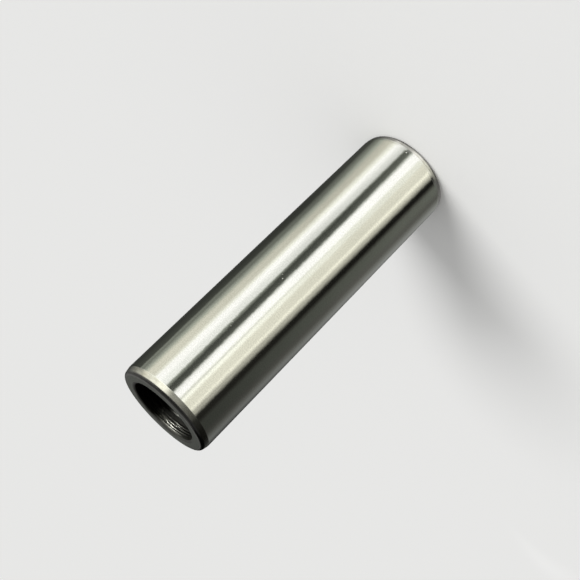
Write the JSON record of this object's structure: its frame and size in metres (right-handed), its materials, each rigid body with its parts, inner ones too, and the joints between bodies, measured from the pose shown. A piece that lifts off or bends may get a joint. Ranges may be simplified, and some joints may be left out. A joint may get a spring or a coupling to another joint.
{
  "type": "piston pin",
  "caption": "Hollow ground steel pin that joins a piston to its connecting rod, with a through bore and a lead-in chamfer at each end.",
  "frame": {"origin": "centre of the lower end face, on which the pin stands", "axes": "+Z along the pin's axis, up from that face"},
  "size_m": [0.022, 0.022, 0.078],
  "materials": {
    "ground_steel": "hardened steel, ground and superfinished to a near mirror outside, turned lead-ins, matte end faces and a drilled bore"
  },
  "bodies": {
    "root": {"piston_pin": "ground_steel"}
  },
  "joints": []
}
